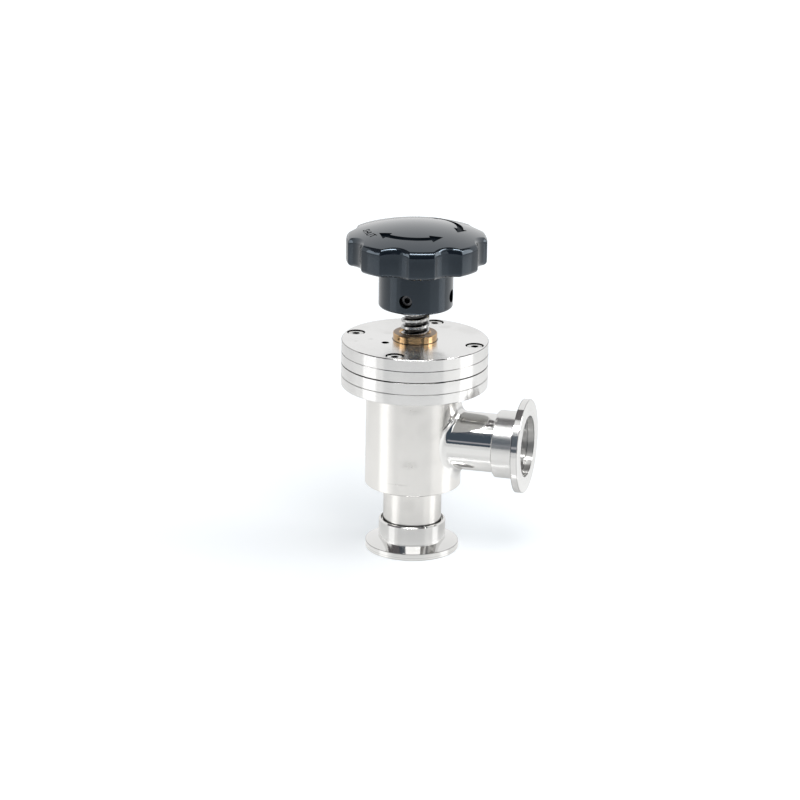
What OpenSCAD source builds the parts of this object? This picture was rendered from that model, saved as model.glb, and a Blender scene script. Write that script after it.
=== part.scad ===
// Vacuum angle valve: two clamp-flange ports at right angles, a bellows-sealed poppet and a lobed handwheel.
// Millimetres. The origin is the centre of the inlet face, +Z runs up the stem, +X out of the side port.
// Drawn fully open. Turning the wheel clockwise, seen from above, screws the poppet down onto its seat.

/* [Ports] */
// Rim diameter of both clamp flanges
rim_d = 40; // [38:0.5:46]
// Thickness of the rim at its edge
rim_t = 3; // [2:0.1:4]
// Slope of the clamp taper behind the rim, in degrees
taper_deg = 15; // [10:1:20]
// Diameter of the centring recess in each face
recess_d = 26.2; // [24:0.1:30]
// Depth of the centring recess
recess_depth = 3; // [2:0.1:4]
// Outer diameter of the collar behind each flange
collar_d = 28.8; // [28.4:0.1:33]
// Length from the flange face to the end of its collar
collar_len = 13; // [12.5:0.5:16]
// Chamfer round the end of the collar
collar_chamfer = 0.5; // [0.2:0.1:0.6]
// Metal left between the recess and the end of the tube
flange_web = 2; // [1:0.1:3]
// Length of tube that is held in the collar
tube_seat_len = 3; // [2:0.5:4]
// Width of the open gap round the tube at the end of the collar
collar_gap = 0.9; // [0.4:0.1:1]
// Outer diameter of the port tubes
tube_d = 25; // [22:0.1:25.6]
// Wall of the port tubes
tube_wall = 1.5; // [1:0.1:2]
// Height of the side port's axis above the inlet face
inlet_len = 50; // [47:0.5:55]
// Reach of the side port's face from the stem axis
outlet_len = 50; // [46:0.5:70]

/* [Body] */
// Outer diameter of the barrel
barrel_d = 41; // [39:0.5:44]
// Wall of the barrel
barrel_wall = 2; // [1.5:0.1:2.6]
// Height of the barrel's underside above the inlet face
barrel_z = 29.2; // [24:0.1:31]
// Thickness of the barrel's floor
floor_t = 3.3; // [2:0.1:4]
// Width of the raised seat round the inlet bore
seat_w = 2.5; // [2:0.1:3]
// Height of the raised seat
seat_h = 1; // [0.5:0.1:1.5]
// Radius of the pulled blend between the barrel and the side tube
saddle_r = 5; // [3:0.5:5.5]
// Diameter of the body flange and of the bonnet
flange_d = 62.4; // [56:0.2:70]
// Thickness of the body flange
body_flange_t = 9.9; // [9:0.1:12]
// Height of the body flange's top face above the inlet face
parting_z = 82.9; // [80:0.1:92]
// Width of the ledge in the body flange that carries the seal
seal_ledge = 2.2; // [2:0.1:2.6]

/* [Bonnet] */
// Thickness of the bonnet
bonnet_t = 10.1; // [9:0.1:14]
// Distance from the top of each plate down to its turned groove
groove_drop = 5.2; // [4:0.1:6]
// Width of the turned groove
groove_w = 0.4; // [0.2:0.1:0.8]
// Depth of the turned groove
groove_depth = 0.4; // [0.2:0.1:0.8]
// Chamfer on the edges of both plates
plate_chamfer = 0.3; // [0.1:0.1:0.6]
// Number of bonnet screws
screw_count = 4; // [3:1:6]
// Distance of the bonnet screws from the edge of the plates
screw_inset = 4.7; // [4.6:0.1:5]
// Angle of the first bonnet screw from the side port, in degrees
screw_clock = -4; // [-45:1:45]
// Thread diameter of the bonnet screws
screw_d = 4; // [3:0.5:4]
// Length of the bonnet screws under the head
screw_len = 12; // [10:1:13]
// Head diameter of the bonnet screws
screw_head_d = 7; // [6:0.5:7]
// Key size of the bonnet screws
screw_key = 3; // [2:0.5:3.5]
// Diameter of the bonnet's vent hole
vent_d = 3.2; // [1.5:0.1:4]
// Distance of the vent hole from the stem axis
vent_r = 14; // [12.5:0.5:14]
// Angle of the vent hole from the side port, in degrees
vent_angle = 221; // [0:1:359]
// Diameter of the shallow space under the bonnet
bonnet_space_d = 32; // [31.5:0.5:36]
// Depth of the shallow space under the bonnet
bonnet_space_depth = 3; // [1:0.5:4]

/* [Stem and nut] */
// Outer diameter of the stem thread
stem_d = 12; // [10:0.5:12.5]
// Pitch of the stem thread
thread_pitch = 3; // [2:0.5:3.5]
// Turns of the handwheel from shut to open
open_turns = 3; // [2:0.5:3.5]
// Diameter of the stem's lower journal
journal_d = 8; // [6:0.5:8.5]
// Diameter of the nut's head
nut_head_d = 18.8; // [17.5:0.1:22]
// Thickness of the nut's head
nut_head_t = 3.1; // [2:0.1:5]
// Diameter of the nut's barrel in the bonnet
nut_barrel_d = 16; // [15.5:0.1:17]
// Length of the nut below its head
nut_len = 15; // [12:0.5:17]
// Chamfer at the top of the nut's thread
nut_mouth = 0.8; // [0.3:0.1:1.2]

/* [Poppet and bellows] */
// Diameter of the poppet's disc
disc_d = 31; // [30:0.5:33]
// Thickness of the poppet's disc
disc_t = 5; // [4:0.5:6]
// Cord diameter of the seal in the disc
disc_cord_d = 2.6; // [2:0.1:2.8]
// How far that seal stands out of the disc
disc_cord_proud = 0.6; // [0.3:0.1:0.8]
// Outer diameter of the poppet's shank and of its cap
shank_d = 18; // [17:0.5:19]
// Bore of the shank
shank_bore_d = 14; // [13:0.5:14.5]
// Thickness of the cap's head
cap_t = 3; // [2:0.5:4]
// Length of the cap's spigot in the shank
cap_spigot_len = 3; // [2:0.5:4]
// Thickness of the thrust washers
washer_t = 1; // [0.5:0.1:1.5]
// Thickness of the circlip
circlip_t = 1.2; // [0.8:0.1:1.5]
// Depth of the circlip's groove in the journal
circlip_groove = 0.5; // [0.3:0.1:0.8]
// Length of the journal below the circlip
journal_tail = 2.2; // [1.5:0.1:3]
// Number of convolutions in the bellows
convolutions = 9; // [6:1:12]
// Inner diameter of the bellows
bellows_in_d = 24; // [23:0.5:25]
// Outer diameter of the bellows
bellows_out_d = 32.6; // [30:0.2:33]
// Thickness of the bellows sheet across its cuffs
bellows_sheet = 0.4; // [0.3:0.1:0.6]
// Length of the cuff at each end of the bellows
cuff_len = 2; // [1:0.5:3]
// Thickness of the bellows flange
bellows_flange_t = 2.8; // [2:0.1:3.5]
// Length of the neck under the bellows flange
bellows_neck_len = 3; // [2:0.5:4]
// Height of the collar at the foot of the bellows
bellows_collar_h = 2; // [1.5:0.5:3]
// Wall of the neck and of the collar that carry the bellows
bellows_end_wall = 2; // [1.5:0.1:2.4]
// Cord diameter of the seal under the bellows flange
bonnet_cord_d = 1.78; // [1.5:0.02:1.9]
// Height of that seal when squeezed
bonnet_cord_h = 1.45; // [1.3:0.05:1.6]

/* [Handwheel] */
// Diameter over the lobes
wheel_d = 59.4; // [54:0.2:66]
// Number of lobes
lobe_count = 8; // [6:1:8]
// Radius of the scallops between the lobes
scallop_r = 11.5; // [6:0.1:12]
// Depth of the scallops
scallop_depth = 2.5; // [2:0.1:4]
// Rounding of the corners of the lobes
lobe_round = 1.2; // [0.6:0.1:1.6]
// Angle of the first lobe from the side port, in degrees
wheel_clock = 19; // [0:0.1:45]
// Height of the rim at the lobes
rim_h = 11.6; // [10:0.1:16]
// Rise of the domed top above the rim
dome_rise = 5.4; // [3:0.1:9]
// Width of the rim's rounded top edge
top_round = 2; // [0.6:0.1:2.5]
// Height of the rim's rounded top edge
top_drop = 3; // [1:0.1:4]
// Rounding of the rim's lower edge
low_round = 1.8; // [0.6:0.1:2.5]
// Wall of the rim round the hollow underside
rim_wall = 3.6; // [3:0.1:5]
// Depth of the hollow underside
hollow_depth = 7.5; // [4:0.5:9]
// Diameter of the hub
hub_d = 31.5; // [28:0.1:34]
// Length of the hub below the rim
hub_len = 18.9; // [17:0.1:26]
// Rounding of the hub's lower edge
hub_round = 1; // [0.3:0.1:1.5]
// Space between the hub and the nut when the valve is shut
shut_space = 2.6; // [2:0.1:8]
// Diameter of the bush in the hub
bush_d = 18; // [16:0.5:20]
// Length of the stem's seat in the hub
stem_seat_len = 17.6; // [14:0.1:18]
// Height of the grub screws above the end of the hub
grub_h = 5.7; // [4:0.1:8]
// Thread diameter of the grub screws
grub_d = 5; // [4:0.5:5]
// Length of the grub screws
grub_len = 7; // [5:0.5:8]
// Key size of the grub screws
grub_key = 2.5; // [2:0.5:2.5]
// Diameter of the cross holes in the hub
grub_hole_d = 5.6; // [5.4:0.1:6]
// Angle of the first grub screw from the side port, in degrees
grub_clock = 268.5; // [0:0.5:359]
// Angle between the two grub screws, in degrees
grub_spread = 90; // [60:5:120]

/* [Clearances] */
// Radial clearance of seated pieces
seat_fit = 0.05; // [0.02:0.01:0.1]
// Radial clearance of the stem in its nut and its cap
run_fit = 0.05; // [0.02:0.01:0.1]
// Radial clearance of the thrust washers
washer_fit = 0.1; // [0.05:0.01:0.2]
// Space beside the poppet's seal in its groove
cord_fit = 0.1; // [0.05:0.01:0.2]
// Space between the seal and the seat when the valve is shut
shut_gap = 0.1; // [0.05:0.05:0.3]
// Space between the poppet's washer and the nut when the valve is open
open_gap = 0.3; // [0.2:0.1:1]
// Radial clearance round the bellows flange in the body
pocket_fit = 0.2; // [0.1:0.05:0.4]
// Radial clearance of a screw in its plain hole, and of a screw head in its counterbore
hole_fit = 0.4; // [0.2:0.05:0.45]
// Drop of the screw heads below the bonnet's top
head_drop = 0.4; // [0.1:0.1:0.8]
// Free depth below the end of the bonnet screws
hole_spare = 1; // [0.5:0.1:1.2]
// Free depth below the end of the stem
stem_spare = 3; // [1:0.5:5]

/* [Hidden] */
$fn = 96;
// Overlap of a cut past the face it opens through
over = 1;

// Radii of the port tubes and of the barrel
tube_r = tube_d / 2;
port_r = tube_r - tube_wall;
barrel_r = barrel_d / 2;
chamber_r = barrel_r - barrel_wall;
flange_r = flange_d / 2;

// Distance of the tube's end from its flange face
tube_end = recess_depth + flange_web;

// Heights of the body, from the floor up
floor_z = barrel_z + floor_t;
seat_z = floor_z + seat_h;
seat_mid_r = port_r + seat_w / 2;
flange_low_z = parting_z - body_flange_t;
bellows_flange_z = parting_z - bellows_flange_t;
pocket_z = bellows_flange_z - bonnet_cord_h;
pocket_r = chamber_r + seal_ledge;
bellows_flange_r = pocket_r - pocket_fit;

// Heights of the bonnet, its screws and the nut
screw_pcd = flange_d - 2 * screw_inset;
bonnet_top = parting_z + bonnet_t;
screw_head_h = screw_d;
screw_top = bonnet_top - head_drop;
screw_shoulder = screw_top - screw_head_h;
screw_end = screw_shoulder - screw_len;
nut_top = bonnet_top + nut_head_t;
nut_end = bonnet_top - nut_len;

// Heights of the moving stack, fully open
lift = thread_pitch * open_turns;
disc_z = seat_z + shut_gap + disc_cord_proud + lift;
disc_top = disc_z + disc_t;
shoulder_z = nut_end - open_gap;
cap_top = shoulder_z - washer_t;
shank_top = cap_top - cap_t;
cap_end = shank_top - cap_spigot_len;
circlip_top = cap_end - washer_t;
circlip_low = circlip_top - circlip_t;
journal_end = circlip_low - journal_tail;
shank_floor = journal_end - stem_spare;
washer_d = shank_bore_d - 2 * washer_fit;

// Ends of the bellows
bellows_low = disc_top + bellows_collar_h;
bellows_high = bellows_flange_z - bellows_neck_len;
bellows_in_r = bellows_in_d / 2;
bellows_out_r = bellows_out_d / 2;
bellows_end_in_r = bellows_in_r + bellows_sheet / 2 - bellows_end_wall / 2;

// Heights of the handwheel
hub_z = nut_top + lift + shut_space;
wheel_z = hub_z + hub_len;
wheel_r = wheel_d / 2;
rim_top = wheel_z + rim_h;
dome_top = rim_top + dome_rise;
dome_r = (wheel_r * wheel_r + dome_rise * dome_rise) / (2 * dome_rise);
hollow_z = wheel_z + hollow_depth;
stem_top = hub_z + stem_seat_len;

// Steps along the arcs of the faceted forms
saddle_turn_steps = 60;
saddle_arc_steps = 5;
corner_steps = 3;
scallop_steps = 6;
tip_steps = 3;
round_steps = 3;
// Rings of points on the dome, as shares of its radius, and on the flat that closes the wheel inside the hub
dome_shares = [0.35, 0.65, 0.85];
core_r = hub_d / 4;

// A turned piece from its half section, given as [radius, height] points
module turned(section) {
  rotate_extrude() polygon(section);
}

// A flat ring standing on the XY plane
module ring(outer_d, inner_d, h) {
  difference() {
    cylinder(d = outer_d, h = h);
    translate([0, 0, -over]) cylinder(d = inner_d, h = h + 2 * over);
  }
}

// Places its children on the bonnet's screw circle
module at_screws() {
  for (i = [0 : screw_count - 1])
    rotate([0, 0, screw_clock + i * 360 / screw_count])
      translate([screw_pcd / 2, 0, 0]) children();
}

// Places its children on the two cross holes of the hub, with +Z pointing outwards
module at_grubs() {
  for (i = [0, 1])
    translate([0, 0, hub_z + grub_h])
      rotate([0, 0, grub_clock + i * grub_spread]) rotate([0, 90, 0]) children();
}

// Clamp flange with its face on the XY plane and its collar upwards
module clamp_flange() {
  rim_r = rim_d / 2;
  collar_r = collar_d / 2;
  edge = plate_chamfer;
  taper_top = rim_t + (rim_r - collar_r) * tan(taper_deg);
  gap_r = tube_r + collar_gap;
  seat_r = tube_r + seat_fit;
  gap_floor = tube_end + tube_seat_len;
  turned([
    [recess_d / 2, 0],
    [rim_r - edge, 0],
    [rim_r, edge],
    [rim_r, rim_t],
    [collar_r, taper_top],
    [collar_r, collar_len - collar_chamfer],
    [collar_r - collar_chamfer, collar_len],
    [gap_r, collar_len],
    [gap_r, gap_floor],
    [seat_r, gap_floor],
    [seat_r, tube_end],
    [port_r, tube_end],
    [port_r, recess_depth],
    [recess_d / 2, recess_depth]
  ]);
}

// Turned groove round a plate whose top face is at height top
module plate_groove(top) {
  translate([0, 0, top - groove_drop - groove_w / 2])
    ring(flange_d + 2 * over, flange_d - 2 * groove_depth, groove_w);
}

// Points of the pulled blend: a ball that rolls round the corner between barrel and side tube.
// The ball is sunk a little into both walls, so that its surface crosses theirs.
saddle_sink = 0.06;
function saddle_centre(a) =
  let (y = (tube_r + saddle_r) * cos(a), z = (tube_r + saddle_r) * sin(a))
  [sqrt(pow(barrel_r + saddle_r, 2) - y * y), y, z];
function saddle_to_barrel(a) =
  let (c = saddle_centre(a)) -[c.x, c.y, 0] / (barrel_r + saddle_r);
function saddle_to_tube(a) =
  let (c = saddle_centre(a)) -[0, c.y, c.z] / (tube_r + saddle_r);
function saddle_section(a) =
  let (
    c = saddle_centre(a),
    u = saddle_to_barrel(a),
    v = saddle_to_tube(a),
    w = acos(u * v),
    middle = (u + v) / norm(u + v),
    ball = saddle_r + saddle_sink,
    root = saddle_r / cos(w / 2) + min(barrel_wall, tube_wall) / 2
  )
  [
    for (i = [0 : saddle_arc_steps])
      let (t = i / saddle_arc_steps)
      c + ball * (sin((1 - t) * w) * u + sin(t * w) * v) / sin(w),
    c + root * middle
  ];

// The blend as a closed ring round the side tube's axis
module saddle_blend() {
  sections = [for (i = [0 : saddle_turn_steps - 1]) saddle_section(i * 360 / saddle_turn_steps)];
  m = saddle_arc_steps + 2;
  count = saddle_turn_steps;
  points = [for (s = sections) each s];
  faces = [
    for (i = [0 : count - 1], j = [0 : m - 1])
      let (
        a = i * m + j,
        b = i * m + (j + 1) % m,
        c = ((i + 1) % count) * m + (j + 1) % m,
        d = ((i + 1) % count) * m + j
      )
      each [[a, b, c], [a, c, d]]
  ];
  polyhedron(points, faces);
}

// Tube with the round opening that takes the side tube
module barrel() {
  color("gainsboro") difference() {
    translate([0, 0, floor_z]) ring(barrel_d, 2 * chamber_r, flange_low_z - floor_z);
    translate([0, 0, inlet_len]) rotate([0, 90, 0]) cylinder(r = tube_r + seat_fit, h = barrel_d);
  }
}

// Floor of the barrel with the raised seat
module barrel_floor() {
  color("gainsboro") turned([
    [port_r, barrel_z],
    [barrel_r - plate_chamfer, barrel_z],
    [barrel_r, barrel_z + plate_chamfer],
    [barrel_r, floor_z],
    [port_r + seat_w, floor_z],
    [port_r + seat_w, seat_z],
    [port_r, seat_z]
  ]);
}

// Plate round the top of the barrel, with the ledge for the seal and the threaded holes
module body_flange() {
  color("gainsboro") difference() {
    turned([
      [chamber_r, flange_low_z],
      [flange_r - plate_chamfer, flange_low_z],
      [flange_r, flange_low_z + plate_chamfer],
      [flange_r, parting_z - plate_chamfer],
      [flange_r - plate_chamfer, parting_z],
      [pocket_r, parting_z],
      [pocket_r, pocket_z],
      [chamber_r, pocket_z]
    ]);
    translate([0, 0, screw_end - hole_spare])
      at_screws() cylinder(d = screw_d + 2 * seat_fit, h = parting_z - screw_end + hole_spare + over);
    plate_groove(parting_z);
  }
}

module inlet_tube() {
  color("gainsboro") translate([0, 0, tube_end]) ring(tube_d, 2 * port_r, barrel_z - tube_end);
}

// Tube through the barrel's wall, with the blend that carries its outside into the barrel's
module side_tube() {
  color("silver") translate([0, 0, inlet_len]) difference() {
    union() {
      difference() {
        rotate([0, 90, 0]) cylinder(r = tube_r, h = outlet_len - tube_end);
        cylinder(r = chamber_r, h = 2 * tube_d, center = true);
      }
      difference() {
        saddle_blend();
        cylinder(r = barrel_r, h = 4 * tube_d, center = true);
      }
    }
    rotate([0, 90, 0]) cylinder(r = port_r, h = outlet_len);
  }
}

module inlet_flange() {
  color("silver") clamp_flange();
}

module outlet_flange() {
  color("silver") translate([outlet_len, 0, inlet_len]) rotate([0, -90, 0]) clamp_flange();
}

module bonnet() {
  color("gainsboro") difference() {
    turned([
      [nut_barrel_d / 2 + seat_fit, parting_z + bonnet_space_depth],
      [bonnet_space_d / 2, parting_z + bonnet_space_depth],
      [bonnet_space_d / 2, parting_z],
      [flange_r - plate_chamfer, parting_z],
      [flange_r, parting_z + plate_chamfer],
      [flange_r, bonnet_top - plate_chamfer],
      [flange_r - plate_chamfer, bonnet_top],
      [nut_barrel_d / 2 + seat_fit, bonnet_top]
    ]);
    translate([0, 0, parting_z - over])
      at_screws() cylinder(d = screw_d + 2 * hole_fit, h = bonnet_t + 2 * over);
    translate([0, 0, screw_shoulder])
      at_screws() cylinder(d = screw_head_d + 2 * hole_fit, h = bonnet_top - screw_shoulder + over);
    rotate([0, 0, vent_angle])
      translate([vent_r, 0, parting_z]) cylinder(d = vent_d, h = bonnet_t + over);
    plate_groove(bonnet_top);
  }
}

// Socket cap screws with their heads on the floor of the counterbores
module bonnet_screws() {
  head_r = screw_head_d / 2;
  color("darkgray") at_screws() difference() {
    turned([
      [0, screw_end],
      [screw_d / 2 - plate_chamfer, screw_end],
      [screw_d / 2, screw_end + plate_chamfer],
      [screw_d / 2, screw_shoulder],
      [head_r, screw_shoulder],
      [head_r, screw_top - plate_chamfer],
      [head_r - plate_chamfer, screw_top],
      [0, screw_top]
    ]);
    translate([0, 0, screw_top - screw_head_h / 2])
      cylinder(d = screw_key / cos(30), h = screw_head_h, $fn = 6);
  }
}

module stem_nut() {
  bore_r = stem_d / 2 + run_fit;
  head_r = nut_head_d / 2;
  color("peru") turned([
    [bore_r, nut_end],
    [nut_barrel_d / 2, nut_end],
    [nut_barrel_d / 2, bonnet_top],
    [head_r, bonnet_top],
    [head_r, nut_top - plate_chamfer],
    [head_r - plate_chamfer, nut_top],
    [bore_r + nut_mouth, nut_top],
    [bore_r, nut_top - nut_mouth]
  ]);
}

// Round cord flattened between the body and the bellows flange
module bonnet_o_ring() {
  mean_r = (chamber_r + pocket_r) / 2;
  color("dimgray") rotate_extrude() translate([mean_r, pocket_z + bonnet_cord_h / 2]) intersection() {
    circle(d = bonnet_cord_d);
    square([2 * bonnet_cord_d, bonnet_cord_h], center = true);
  }
}

module bellows_flange() {
  color("silver") turned([
    [bellows_end_in_r, bellows_high],
    [bellows_end_in_r + bellows_end_wall, bellows_high],
    [bellows_end_in_r + bellows_end_wall, bellows_flange_z],
    [bellows_flange_r, bellows_flange_z],
    [bellows_flange_r, parting_z],
    [bellows_end_in_r, parting_z]
  ]);
}

// Zigzag sheet between two straight cuffs
module bellows() {
  low = bellows_low + cuff_len;
  pitch = (bellows_high - bellows_low - 2 * cuff_len) / convolutions;
  inside = [
    [bellows_in_r, bellows_low],
    for (i = [0 : convolutions - 1])
      each [
        [bellows_in_r, low + i * pitch],
        [bellows_out_r - bellows_sheet, low + (i + 0.5) * pitch]
      ],
    [bellows_in_r, bellows_high - cuff_len],
    [bellows_in_r, bellows_high]
  ];
  outside = [for (i = [len(inside) - 1 : -1 : 0]) inside[i] + [bellows_sheet, 0]];
  color("lightsteelblue") turned(concat(inside, outside));
}

module bellows_collar() {
  color("silver") translate([0, 0, disc_top])
    ring(2 * (bellows_end_in_r + bellows_end_wall), 2 * bellows_end_in_r, bellows_collar_h);
}

// Disc with the seal's groove in its face, and a hollow shank that holds the end of the stem
module poppet() {
  disc_r = disc_d / 2;
  shank_r = shank_d / 2;
  groove_half = disc_cord_d / 2 + cord_fit;
  color("silver") difference() {
    turned([
      [0, disc_z],
      [disc_r - plate_chamfer, disc_z],
      [disc_r, disc_z + plate_chamfer],
      [disc_r, disc_top - plate_chamfer],
      [disc_r - plate_chamfer, disc_top],
      [shank_r, disc_top],
      [shank_r, shank_top],
      [shank_bore_d / 2, shank_top],
      [shank_bore_d / 2, shank_floor],
      [0, shank_floor]
    ]);
    translate([0, 0, disc_z - over])
      ring(2 * (seat_mid_r + groove_half), 2 * (seat_mid_r - groove_half), disc_cord_d - disc_cord_proud + over);
  }
}

module disc_o_ring() {
  color("dimgray") rotate_extrude()
    translate([seat_mid_r, disc_z - disc_cord_proud + disc_cord_d / 2]) circle(d = disc_cord_d);
}

module carrier_cap() {
  bore_r = journal_d / 2 + run_fit;
  spigot_r = shank_bore_d / 2 - seat_fit;
  color("gray") turned([
    [bore_r, cap_end],
    [spigot_r, cap_end],
    [spigot_r, shank_top],
    [shank_d / 2, shank_top],
    [shank_d / 2, cap_top - plate_chamfer],
    [shank_d / 2 - plate_chamfer, cap_top],
    [bore_r, cap_top]
  ]);
}

module thrust_washer(low) {
  translate([0, 0, low]) ring(washer_d, journal_d + 2 * washer_fit, washer_t);
}

module thrust_washer_upper() {
  color("goldenrod") thrust_washer(cap_top);
}

module thrust_washer_lower() {
  color("goldenrod") thrust_washer(circlip_top);
}

// Threaded spindle with its journal below the shoulder
module stem() {
  journal_r = journal_d / 2;
  stem_r = stem_d / 2;
  color("slategray") turned([
    [0, journal_end],
    [journal_r - plate_chamfer, journal_end],
    [journal_r, journal_end + plate_chamfer],
    [journal_r, circlip_low],
    [journal_r - circlip_groove, circlip_low],
    [journal_r - circlip_groove, circlip_top],
    [journal_r, circlip_top],
    [journal_r, shoulder_z],
    [stem_r, shoulder_z],
    [stem_r, stem_top - plate_chamfer],
    [stem_r - plate_chamfer, stem_top],
    [0, stem_top]
  ]);
}

// Open spring ring in the journal's groove
module circlip() {
  inner_d = journal_d - 2 * circlip_groove + 2 * seat_fit;
  outer_d = (journal_d + washer_d) / 2;
  color("dimgray") translate([0, 0, circlip_low]) difference() {
    ring(outer_d, inner_d, circlip_t);
    translate([0, -journal_d / 4, -over]) cube([outer_d, journal_d / 2, circlip_t + 2 * over]);
  }
}

module hub_bush() {
  color("darkkhaki") difference() {
    translate([0, 0, hub_z]) ring(bush_d, stem_d + 2 * seat_fit, stem_seat_len);
    at_grubs() cylinder(d = grub_d + 2 * seat_fit, h = bush_d);
  }
}

// Socket set screws that bear on the stem
module grub_screws() {
  tip = stem_d / 2 + seat_fit;
  grub_r = grub_d / 2;
  color("dimgray") at_grubs() difference() {
    turned([
      [0, tip],
      [grub_r - 2 * plate_chamfer, tip],
      [grub_r, tip + 2 * plate_chamfer],
      [grub_r, tip + grub_len - plate_chamfer],
      [grub_r - plate_chamfer, tip + grub_len],
      [0, tip + grub_len]
    ]);
    translate([0, 0, tip + grub_len / 2]) cylinder(d = grub_key / cos(30), h = grub_len, $fn = 6);
  }
}

// Outline of the wheel: tip arcs, rounded corners and scallops, one scallop at a time
scallop_at = wheel_r - scallop_depth + scallop_r;
corner_at = wheel_r - lobe_round;
corner_angle = acos(
  (corner_at * corner_at + scallop_at * scallop_at - pow(scallop_r + lobe_round, 2))
  / (2 * corner_at * scallop_at)
);
corner_end = atan2(corner_at * sin(corner_angle), scallop_at - corner_at * cos(corner_angle));
function polar(r, a) = [r * cos(a), r * sin(a)];
function corner_arc(side) = [
  for (i = [0 : corner_steps])
    let (t = side < 0 ? i / corner_steps : 1 - i / corner_steps)
    polar(corner_at, side * corner_angle)
      + polar(lobe_round, -side * (-corner_angle + t * (corner_angle + corner_end)))
];
function scallop_arc() = [
  for (i = [1 : scallop_steps - 1])
    [scallop_at, 0] + polar(scallop_r, 180 + corner_end * (1 - 2 * i / scallop_steps))
];
function tip_arc() =
  let (sweep = 360 / lobe_count - 2 * corner_angle)
  [for (i = [1 : tip_steps]) polar(wheel_r, corner_angle + sweep * i / (tip_steps + 1))];
function turn2d(p, a) = [p.x * cos(a) - p.y * sin(a), p.x * sin(a) + p.y * cos(a)];
wheel_outline = [
  for (k = [0 : lobe_count - 1])
    let (a = wheel_clock + (k + 0.5) * 360 / lobe_count)
    for (p = concat(corner_arc(-1), scallop_arc(), corner_arc(1), tip_arc()))
      turn2d(p, a)
];

// Height of the dome at radius r
function dome(r) = dome_top - dome_r + sqrt(dome_r * dome_r - r * r);

// Where the dome runs smoothly into the rounded top edge: the start of its elliptic section, and its radius
function edge_lean(r) = atan(tan(asin((r - top_round) / dome_r)) * top_round / top_drop);
function dome_edge(r) = r - top_round * (1 - sin(edge_lean(r)));

// One ring of the wheel's skin: every outline point drawn in by inset, at a height that may follow the dome
function flat_ring(inset, z) = [
  for (p = wheel_outline)
    let (s = 1 - inset / norm(p)) [p.x * s, p.y * s, z]
];
function dome_ring(share) = [
  for (p = wheel_outline)
    let (r = norm(p), s = share * dome_edge(r) / r)
    [p.x * s, p.y * s, dome(r * s)]
];
function top_round_ring(t) = [
  for (p = wheel_outline)
    let (
      r = norm(p),
      lean = edge_lean(r),
      a = lean + t * (90 - lean),
      centre_z = dome(dome_edge(r)) - top_drop * cos(lean),
      s = (r - top_round + top_round * sin(a)) / r
    )
    [p.x * s, p.y * s, centre_z + top_drop * cos(a)]
];
function round_hub_ring(r, z) = [for (p = wheel_outline) [p.x * r / norm(p), p.y * r / norm(p), z]];

// The moulded top: dome, rounded rim and the hollow round the hub, as one skin from pole to pole
module wheel_shell() {
  rings = [
    for (share = dome_shares) dome_ring(share),
    for (i = [0 : round_steps]) top_round_ring(i / round_steps),
    for (i = [0 : round_steps])
      let (a = 90 * i / round_steps)
      flat_ring(low_round * (1 - cos(a)), wheel_z + low_round * (1 - sin(a))),
    flat_ring(rim_wall, wheel_z),
    flat_ring(rim_wall + plate_chamfer, hollow_z),
    round_hub_ring(core_r, hollow_z)
  ];
  n = len(wheel_outline);
  last = len(rings) - 1;
  points = concat([for (r = rings) each r], [[0, 0, dome_top], [0, 0, hollow_z]]);
  top = n * len(rings);
  faces = [
    for (i = [0 : n - 1])
      let (j = (i + 1) % n)
      each [
        [top, j, i],
        [top + 1, last * n + i, last * n + j],
        for (k = [0 : last - 1])
          each [
            [k * n + i, k * n + j, (k + 1) * n + j],
            [k * n + i, (k + 1) * n + j, (k + 1) * n + i]
          ]
      ]
  ];
  polyhedron(points, faces);
}

// Hub with its socket for the bush, closed at the top
module wheel_hub() {
  hub_r = hub_d / 2;
  socket_r = bush_d / 2 + seat_fit;
  difference() {
    rotate_extrude() difference() {
      union() {
        translate([0, hub_z + hub_round]) square([hub_r, hollow_z + over - hub_z - hub_round]);
        translate([0, hub_z]) square([hub_r - hub_round, 2 * hub_round]);
        translate([hub_r - hub_round, hub_z + hub_round]) circle(r = hub_round);
      }
      translate([0, hub_z - over]) square([socket_r, stem_seat_len + over]);
    }
    at_grubs() cylinder(d = grub_hole_d, h = hub_d);
  }
}

module handwheel() {
  color("darkslategray") {
    wheel_shell();
    wheel_hub();
  }
}

barrel();
barrel_floor();
body_flange();
inlet_tube();
side_tube();
inlet_flange();
outlet_flange();
bonnet();
bonnet_screws();
stem_nut();
bonnet_o_ring();
bellows_flange();
bellows();
bellows_collar();
poppet();
disc_o_ring();
carrier_cap();
thrust_washer_upper();
thrust_washer_lower();
stem();
circlip();
hub_bush();
grub_screws();
handwheel();
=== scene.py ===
import bmesh
import bpy
import math
import numpy as np
from mathutils import Matrix, Vector


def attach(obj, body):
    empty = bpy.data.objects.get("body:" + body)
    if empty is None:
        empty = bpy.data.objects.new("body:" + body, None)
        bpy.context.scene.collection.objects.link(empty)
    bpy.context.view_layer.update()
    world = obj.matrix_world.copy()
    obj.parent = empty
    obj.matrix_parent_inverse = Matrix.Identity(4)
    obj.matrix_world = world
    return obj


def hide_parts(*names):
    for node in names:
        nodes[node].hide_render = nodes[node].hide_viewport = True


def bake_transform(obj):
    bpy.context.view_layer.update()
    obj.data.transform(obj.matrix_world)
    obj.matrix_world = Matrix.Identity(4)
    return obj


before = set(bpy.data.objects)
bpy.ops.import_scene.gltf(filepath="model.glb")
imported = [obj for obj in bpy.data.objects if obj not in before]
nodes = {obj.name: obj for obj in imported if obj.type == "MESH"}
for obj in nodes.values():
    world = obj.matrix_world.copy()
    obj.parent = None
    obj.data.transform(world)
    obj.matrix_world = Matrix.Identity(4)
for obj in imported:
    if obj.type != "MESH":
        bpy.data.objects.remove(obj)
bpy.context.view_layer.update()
scene = bpy.context.scene
scene.view_settings.view_transform = "Standard"
mm = 0.001
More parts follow.
